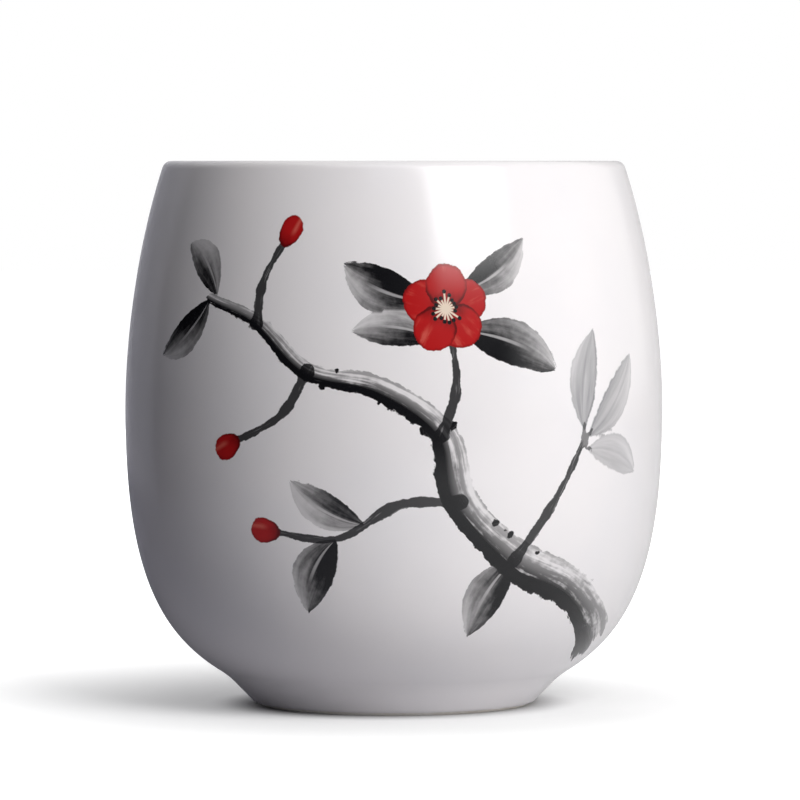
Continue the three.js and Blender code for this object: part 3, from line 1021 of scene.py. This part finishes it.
@dataclass(frozen=True)
class PaintedGlaze(DippedGlaze):
    """The same glaze with brush painting fired into it: pale leaves in grey wash that gathered at the rim,
    ink leaves from a brush loaded on one side, broken streaks on the bough, crisp twigs, and red petals
    pressed one over the next.

    A layer's method takes the shader tree and the colour under the layer, and gives the colour with it.
    """

    name: str = "porcelain_glaze_painted_in_ink_and_red_enamel"
    wash: str = "#5E5F63"
    ink: str = "#131316"
    red: str = "#B3191B"
    deep_red: str = "#5E080C"
    pale_red: str = "#D96A5C"
    filament: str = "#F0DFCB"
    bloom_mm: float = 6.0
    petals: tuple[int, ...] = (0, 2, 4, 1, 3)
    petal_half_length: float = 0.5
    petal_half_width: float = 0.49
    petal_stray: float = 0.09
    stamens: int = 17

    def attributes(self, tree: Tree, layer: Layer, *names: str) -> list[Signal]:
        """Reads some of the painter's fields."""
        fields = (f"{layer.value}_{name}" for name in names)
        return [Signal.of(tree, "ShaderNodeAttribute", {}, "Fac", attribute_name=name) for name in fields]

    def streaks(self, tree: Tree, x: Signal, y: Signal, detail: float = 4.0) -> Signal:
        """Adds noise drawn out by the brush, in the stroke's own coordinates."""
        return noise(tree, 1.0, detail, add_node(tree, "ShaderNodeCombineXYZ", {0: x, 1: y}).outputs[0])

    def colour(self, tree: Tree, drift: Signal) -> Socket:
        """Lays the painter's layers over the glaze's white."""
        colour = super().colour(tree, drift)
        for layer in (self._wash, self._leaves, self._bough, self._lines, self._buds, self._bloom):
            colour = layer(tree, colour)
        return colour

    def _wash(self, tree: Tree, under: Socket) -> Socket:
        """Thin grey leaves, wet at the foot and darker along the rim where the water dried last."""
        edge, along, across, tone, seed = self.attributes(tree, Layer.WASH, *LEAF_FIELDS)
        streak = self.streaks(tree, along * 1.1 + seed, across * 1.5)
        edge = edge + (noise(tree, 1.3, 3.0) - 0.5) * 0.7 + (streak - 0.5) * along * 0.8
        rib = across.math("ABSOLUTE").ramp(0.12, 0.03) * along.ramp(0.95, 0.6) * 0.1
        loaded = across.ramp(0.8, -0.7) * 0.14 + along.ramp(0.9, 0.0) * 0.16
        depth = edge.ramp(0.5, 0.05) * 0.1 + streak.ramp(0.3, 0.7) * 0.26 + loaded + rib + 0.28
        return mix(edge.ramp(-0.1, 0.16) * depth * tone, under, self.wash)

    def _leaves(self, tree: Tree, under: Socket) -> Socket:
        """Ink leaves from a brush loaded on one side: black there, grey beside it, ragged at the end."""
        edge, along, across, tone, seed = self.attributes(tree, Layer.LEAF, *LEAF_FIELDS)
        streak = self.streaks(tree, along * 1.3 + seed, across * 2.1)
        bleed = noise(tree, 1.0, 3.0)
        edge = edge + (bleed - 0.5) * 0.5 + (streak - 0.55) * along * 1.5
        loaded = across.ramp(0.8, -0.7) * 0.45 + along.ramp(1.0, 0.2) * 0.4
        wet = loaded + (streak - 0.5) * 0.8 + (bleed - 0.5) * 0.25 + tone * 1.6 - 1.35
        rib = (across.math("ABSOLUTE") - along * 0.03).ramp(0.09, 0.02)
        rib = rib * along.ramp(0.75, 0.4) * along.ramp(0.02, 0.12)
        depth = (wet.ramp(0.0, 0.9) * 0.75 + 0.25) * (rib * -0.4 + 1.0)
        return mix(edge.ramp(-0.03, 0.09) * depth, under, self.ink)

    def _bough(self, tree: Tree, under: Socket) -> Socket:
        """Ink dragged with a half-dry brush: broken streaks along the bough, dark along its lower side."""
        edge, along, across, root = self.attributes(tree, Layer.BOUGH, "edge", "along", "across", "share")
        streak = self.streaks(tree, along / 11.0, across * 2.6, 5.0)
        bark = noise(tree, 1.2, 4.0)
        edge = edge + (bark - 0.5) * 1.2 + (streak - 0.5) * 0.7 + (streak - 0.62) * root.ramp(0.2, 0.0) * 9.0
        shade = across.ramp(-0.9, 0.75)
        wet = (streak + shade * 0.28 + (bark - 0.5) * 0.25).ramp(0.42, 0.64)
        depth = wet * (shade * 0.42 + 0.5) + shade * 0.08 + 0.08
        return mix(edge.ramp(-0.05, 0.1) * depth, under, self.ink)

    def _lines(self, tree: Tree, under: Socket) -> Socket:
        """Full black ink in crisp strokes, with a few dry breaks."""
        edge, along, across, tone = self.attributes(tree, Layer.LINE, "edge", "along", "across", "tone")
        edge = edge + (noise(tree, 0.8, 3.0) - 0.5) * 0.45
        dry = self.streaks(tree, along / 5.0, across * 1.4).ramp(0.28, 0.46)
        return mix(edge.ramp(-0.03, 0.09) * tone * (dry * 0.25 + 0.75), under, self.ink)

    def _buds(self, tree: Tree, under: Socket) -> Socket:
        """Closed red buds, deep at the foot, with a paler streak where the furled petal catches light."""
        edge, along, across = self.attributes(tree, Layer.BUD, "edge", "along", "across")
        edge = edge + (noise(tree, 0.9, 3.0) - 0.5) * 0.4
        streak = self.streaks(tree, along * 0.6, across * 2.0)
        deep = edge.ramp(0.5, 0.05) * 0.4 + along.ramp(0.3, -0.9) * 0.5 + (streak - 0.45) * 0.5
        petal = mix(deep.ramp(0.0, 0.9), self.red, self.deep_red)
        light = (across + 0.3).math("ABSOLUTE").ramp(0.35, 0.0) * along.ramp(-0.3, 0.3)
        light = light * streak.ramp(0.35, 0.6)
        petal = mix(light * 0.6, petal, self.pale_red)
        return mix(edge.ramp(-0.03, 0.1), under, petal)

    def _bloom(self, tree: Tree, under: Socket) -> Socket:
        """The open flower: each petal deep at the heart, dark along its rim, paler where paint ran thin."""
        x, y, near = self.attributes(tree, Layer.BLOOM, "x", "y", "edge")
        gate = near.ramp(0.0, 0.3)
        ragged = (noise(tree, 1.1, 3.0) - 0.5) * 0.75
        colour = under
        for petal in self.petals:
            turn = 2 * math.pi * petal / len(self.petals) + self.petal_stray * math.sin(5.0 * petal)
            out = x * math.cos(turn) + y * math.sin(turn)
            side = y * math.cos(turn) - x * math.sin(turn)
            long = (out - self.petal_half_length) / self.petal_half_length
            wide = side / self.petal_half_width
            inside = (long * long + wide * wide).math("SQRT") * -1.0 + 1.0
            inside = inside * (self.petal_half_width * self.bloom_mm) + ragged
            streak = self.streaks(tree, out * 1.1 + 7.0 * petal, side * 5.0)
            deep = inside.ramp(0.6, 0.05) * 0.55 + out.ramp(0.6, 0.15) * 0.6 + (streak - 0.5) * 0.7
            shade = mix(deep.ramp(0.05, 1.0), self.red, self.deep_red)
            thin = streak.ramp(0.5, 0.72) * out.ramp(0.35, 0.75) * inside.ramp(0.1, 0.5) * 0.55
            shade = mix(thin, shade, self.pale_red)
            colour = mix(inside.ramp(-0.03, 0.09) * gate, colour, shade)
        return self._stamens(tree, colour, x, y, gate)

    def _stamens(self, tree: Tree, under: Socket, x: Signal, y: Signal, gate: Signal) -> Socket:
        """Draws the tuft in the flower's heart: pale, uneven filaments, each with an anther's ink dot.

        Args:
            tree: The shader tree.
            under: The petals.
            x: Across the flower, in radii.
            y: Up the flower, in radii.
            gate: 1 near the flower, 0 elsewhere.

        Returns:
            The colour with the tuft.
        """
        out = (x * x + y * y).math("SQRT")
        turn = y.math("ARCTAN2", x) * (self.stamens / (2 * math.pi)) + 40.0
        cell = turn.math("FLOOR")
        reach = Signal.of(tree, "ShaderNodeTexWhiteNoise", {"W": cell}, noise_dimensions="1D") * 0.2 + 0.2
        beside = (turn - cell - 0.5).math("ABSOLUTE") * out * (2 * math.pi / self.stamens * self.bloom_mm)
        past = (out - reach) * self.bloom_mm
        line = beside.ramp(0.17, 0.08) * past.ramp(0.05, -0.1)
        anther = (past * past + beside * beside).math("SQRT").ramp(0.34, 0.22)
        tuft = line.math("MAXIMUM", out.ramp(0.12, 0.06)) * gate * 0.9
        colour = mix(tuft, under, self.filament)
        return mix(anther * gate, colour, self.ink)


@dataclass(frozen=True)
class WipedBiscuit:
    """Bare fired porcelain, wiped clean of glaze before firing: matt and chalky, with a fine grain and a
    faint warm flush where it met the kiln's air."""

    name: str = "porcelain_biscuit_wiped_bare"
    clay: str = "#E6E3DD"
    flush: str = "#DAD0C3"
    grain_mm: float = 0.35
    grain_height_mm: float = 0.012
    flush_mm: float = 6.0

    def material(self) -> Material:
        """Makes the material."""
        material, tree = new_material(self.name)
        grain = noise(tree, self.grain_mm, 3.0)
        patch = noise(tree, self.flush_mm, 3.0)
        colour = mix((patch + (grain - 0.5) * 0.4).ramp(0.3, 0.9), self.clay, self.flush)
        fire(tree, colour, grain * 0.2 + 0.6, grain * self.grain_height_mm)
        return material


# Sub-assemblies


@dataclass
class Foot:
    """The luted ring that the cup stands on, and the glazed island inside it."""

    form: CupForm
    wheel: PottersWheel
    columns: int = 241

    def build(self, glaze: Material, biscuit: Material) -> list[Piece]:
        """Turns the foot's pieces and hides the CAD parts they stand for.

        Args:
            glaze: What the well is dressed in.
            biscuit: What the ring is dressed in.

        Returns:
            The pieces.
        """
        turn, form = self.wheel.turn, self.form
        ring = turn("turned_foot_ring", form.foot_ring_outline(), self.columns, biscuit)
        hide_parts("foot_ring")
        well = turn("foot_well_island", form.well_glaze_outline(), self.columns, glaze)
        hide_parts("foot_well_glaze")
        return [ring, well]


@dataclass
class Bowl:
    """The biscuit bowl with its two coats of glaze, the outer one painted."""

    form: CupForm
    wheel: PottersWheel
    branch: CamelliaBranch
    columns: int = 361
    inner_columns: int = 241
    evenness: float = 0.5

    def build(self, glaze: Material, painted: Material, biscuit: Material) -> list[Piece]:
        """Turns and paints the bowl's pieces and hides the CAD parts they stand for.

        Args:
            glaze: What the inside is dressed in.
            painted: What the outside is dressed in.
            biscuit: What the clay is dressed in.

        Returns:
            The pieces.
        """
        turn, form = self.wheel.turn, self.form
        clay = turn("biscuit_bowl", form.bowl_outline(), self.inner_columns, biscuit)
        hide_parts("porcelain_bowl")
        lining = turn("inner_glaze_lining", form.inner_glaze_outline(), self.inner_columns, glaze)
        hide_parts("inner_glaze")
        coat = turn("painted_outer_glaze", form.outer_glaze_outline(), self.columns, painted, self.evenness)
        LOG.info("%d marks of the brush", self.branch.paint(coat.data))
        enamels = [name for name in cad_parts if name.startswith(("ink_", "red_", "pale_"))]
        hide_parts("outer_glaze", *enamels)
        return [clay, lining, coat]


# Studio


@dataclass(frozen=True)
class Softbox:
    """A diffused lamp that faces the cup. Its turn is from the front towards the right, in degrees.

    One that isn't mirrored lights the cup but makes no highlight on it.
    """

    name: str
    turn: float
    rise: float
    distance: float
    width: float
    height: float
    power: float
    mirrored: bool = True


@dataclass(frozen=True)
class Card:
    """A card that the cup sees and the camera doesn't. It is tipped up from the floor, then turned about Z.

    Its two shades mix as felt does, or the first gives way to the second across the card's fade, which
    paints a darker side and a lighter side onto the card as shade and light.
    """

    name: str
    place: tuple[float, float, float]
    width: float
    height: float
    tip: float
    turn: float
    shades: tuple[str, str]
    fade: tuple[float, float] | None = None


@dataclass(frozen=True)
class Studio:
    """A pale floor and a white surround under soft light: a strong softbox at the right, weak ones besides.

    Cards at the left, behind the cup and behind the camera shape its light and reflections. The floor card
    lies just below the floor and takes the floor's place for the cup; it is dark at the left, a painted
    shade where the cup's shadow falls, and light at the right.
    """

    fill: float = 0.155
    aim_height: float = 0.04
    floor_size: float = 6.0
    paper: tuple[str, str] = ("#D2D2D2", "#D8D8D8")
    # painted shade: the floor's glow ramps, in metres from the axis, leave the floor darker round the foot
    # and white further off
    painted_glow_contact_range: tuple[float, float] = (0.0185, 0.026)
    painted_glow_far: tuple[float, float] = (0.019, 0.092)
    painted_glow_contact_share: float = 0.28
    felt_share: float = 0.05
    softboxes: tuple[Softbox, ...] = (
        Softbox("key_softbox", 36, 35.5, 0.8, 0.45, 0.45, 5.1),
        Softbox("front_softbox", 8, 52, 0.8, 0.5, 0.5, 0.9),
        Softbox("side_softbox", 84, 8, 0.8, 0.4, 0.4, 0.15),
        Softbox("back_softbox", 184, 10, 0.8, 0.5, 0.2, 1.4, mirrored=False),
    )
    cards: tuple[Card, ...] = (
        Card("dark_card", (-0.2, -0.065, 0.2), 0.33, 0.5, 90, 90, ("#141418", "#1C1C20")),
        Card("grey_card", (-0.2, 0.285, 0.2), 0.37, 0.5, 90, 90, ("#C8C8D0", "#D0D0D8")),
        Card("back_left_card", (-0.27, 0.5, 0.2), 0.42, 0.5, 90, 0, ("#ECECF2", "#F2F2F8")),
        Card("back_right_card", (0.27, 0.5, 0.2), 0.42, 0.5, 90, 0, ("#E4E4E4", "#ECECEC")),
        # painted shade: this stand-in floor runs dark at the left, where the cup's shadow falls, to light at
        # the right
        Card("floor_card_painted_shade", (0.0, 0.44, -0.001), 2.8, 1.48, 0, 0, ("#8A8A94", "#F4F4F4"), (-0.075, 0.065)),
        Card("room_floor", (0.0, -0.85, -0.001), 2.8, 1.1, 0, 0, ("#18181A", "#202022")),
        Card("dark_room", (0.0, -1.4, 0.6), 3.6, 2.4, 90, 0, ("#101012", "#18181A")),
    )

    def build(self) -> None:
        """Sets up the floor, the light and the surround."""
        self._floor()
        self._surround()
        for box in self.softboxes:
            self._lamp(box)
        for card in self.cards:
            self._card(card)

    def _panel(self, name: str, width: float, height: float) -> Piece:
        """Adds a rectangle in its own XY plane."""
        x, y = width / 2, height / 2
        mesh = bpy.data.meshes.new(name)
        mesh.from_pydata([(-x, -y, 0), (x, -y, 0), (x, y, 0), (-x, y, 0)], [], [(0, 1, 2, 3)])
        panel = add_object(name, mesh)
        return panel

    @staticmethod
    def _seen(tree: Tree) -> Signal:
        """Tells what is looked at, directly or in a glossy or clear surface, from what only lights."""
        path = add_node(tree, "ShaderNodeLightPath").outputs
        seen = Signal(tree, path["Is Camera Ray"])
        for kind in ("Is Glossy Ray", "Is Transmission Ray"):
            seen = seen.math("MAXIMUM", path[kind])
        return seen

    def _floor(self) -> None:
        """Lays the floor: white paper that keeps the cup's shadow, with a glow for the camera that is nil
        near the foot and full further off, a painted shade round the cup that brightens to the surround.

        Only the camera sees it.
        """
        floor = self._panel("paper_floor", self.floor_size, self.floor_size)
        material, tree = new_material("white_paper_sweep")
        far = Signal.of(tree, "ShaderNodeVectorMath", {0: own_place(tree)}, "Value", operation="LENGTH")
        paper = mix(noise(tree, 2.0, 4.0), *self.paper)
        diffuse = add_node(tree, "ShaderNodeBsdfDiffuse", {"Color": paper})
        # painted shade round the foot: the camera-only glow is nil under the cup and grows away from it
        painted_glow_near = far.ramp(*self.painted_glow_contact_range) * self.painted_glow_contact_share
        painted_glow_far = far.ramp(*self.painted_glow_far) * (1 - self.painted_glow_contact_share)
        painted_floor_glow = add_node(tree, "ShaderNodeEmission", {"Strength": self._seen(tree) * (painted_glow_near + painted_glow_far)})
        both = add_node(tree, "ShaderNodeAddShader", {0: diffuse.outputs[0], 1: painted_floor_glow.outputs[0]})
        add_node(tree, "ShaderNodeOutputMaterial", {"Surface": both.outputs[0]})
        floor.data.materials.append(material)
        floor.visible_diffuse = False
        floor.visible_glossy = False
        floor.visible_shadow = False

    def _surround(self) -> None:
        """Makes the world white where it is seen, directly or in a reflection, and a soft fill elsewhere."""
        world = bpy.data.worlds.new("white_surround")
        tree = bare_tree(world)
        strength = self._seen(tree) * (1 - self.fill) + self.fill
        light = add_node(tree, "ShaderNodeBackground", {"Color": (1.0, 1.0, 1.0, 1.0), "Strength": strength})
        add_node(tree, "ShaderNodeOutputWorld", {"Surface": light.outputs[0]})
        bpy.context.scene.world = world

    def _lamp(self, box: Softbox) -> None:
        """Hangs a softbox that faces the cup."""
        lamp = bpy.data.lights.new(box.name, "AREA")
        lamp.shape, lamp.size, lamp.size_y = "RECTANGLE", box.width, box.height
        lamp.energy = box.power
        holder = add_object(box.name, lamp)
        turn, rise = math.radians(box.turn), math.radians(box.rise)
        way = Vector((math.sin(turn) * math.cos(rise), -math.cos(turn) * math.cos(rise), math.sin(rise)))
        holder.location = Vector((0, 0, self.aim_height)) + box.distance * way
        holder.rotation_euler = (-way).to_track_quat("-Z", "Y").to_euler()
        holder.visible_camera = False
        holder.visible_glossy = box.mirrored

    def _card(self, card: Card) -> None:
        """Sets up a card."""
        panel = self._panel(card.name, card.width, card.height)
        panel.location = card.place
        panel.rotation_euler = Euler((math.radians(card.tip), 0, math.radians(card.turn)))
        panel.visible_camera = False
        panel.visible_shadow = False
        material, tree = new_material("felt_card")
        blend = noise(tree, 1.0, 3.0)
        # a card with a fade paints shade and light: its first shade at the left gives way to the second at
        # the right
        if card.fade:
            across = Signal.of(tree, "ShaderNodeSeparateXYZ", {"Vector": own_place(tree)}, "X")
            blend = across.ramp(*card.fade) * (1 - self.felt_share) + blend * self.felt_share
        felt = mix(blend, *card.shades)
        shader = add_node(tree, "ShaderNodeBsdfDiffuse", {"Color": felt})
        add_node(tree, "ShaderNodeOutputMaterial", {"Surface": shader.outputs[0]})
        panel.data.materials.append(material)


@dataclass(frozen=True)
class Viewpoint:
    """The photograph's view: a long lens level with the rim, tipped down to the cup's middle."""

    distance: float = 0.7614
    height: float = 0.0749
    aside: float = 0.00085
    tip: float = math.radians(2.478)
    lens: float = 248.0

    def set_up(self) -> None:
        """Adds the camera and makes it the scene's own."""
        camera = bpy.data.cameras.new("view")
        camera.lens = self.lens
        holder = add_object("view", camera)
        holder.location = (self.aside, -self.distance, self.height)
        holder.rotation_euler = Euler((math.pi / 2 - self.tip, 0, 0))
        bpy.context.scene.camera = holder


def main() -> None:
    """Builds the cup and its studio."""
    logging.basicConfig(level=logging.INFO, format="%(message)s")
    form = CupForm()
    wheel = PottersWheel()
    glaze, painted, biscuit = DippedGlaze().material(), PaintedGlaze().material(), WipedBiscuit().material()
    pieces = Bowl(form, wheel, CamelliaBranch(form)).build(glaze, painted, biscuit)
    pieces += Foot(form, wheel).build(glaze, biscuit)
    for piece in pieces:
        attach(piece, BODY)
        LOG.info("%s: %d faces", piece.name, len(piece.data.polygons))
    Studio().build()
    Viewpoint().set_up()
    bpy.context.scene.view_settings.view_transform = "Standard"


if __name__ == "__main__":
    main()
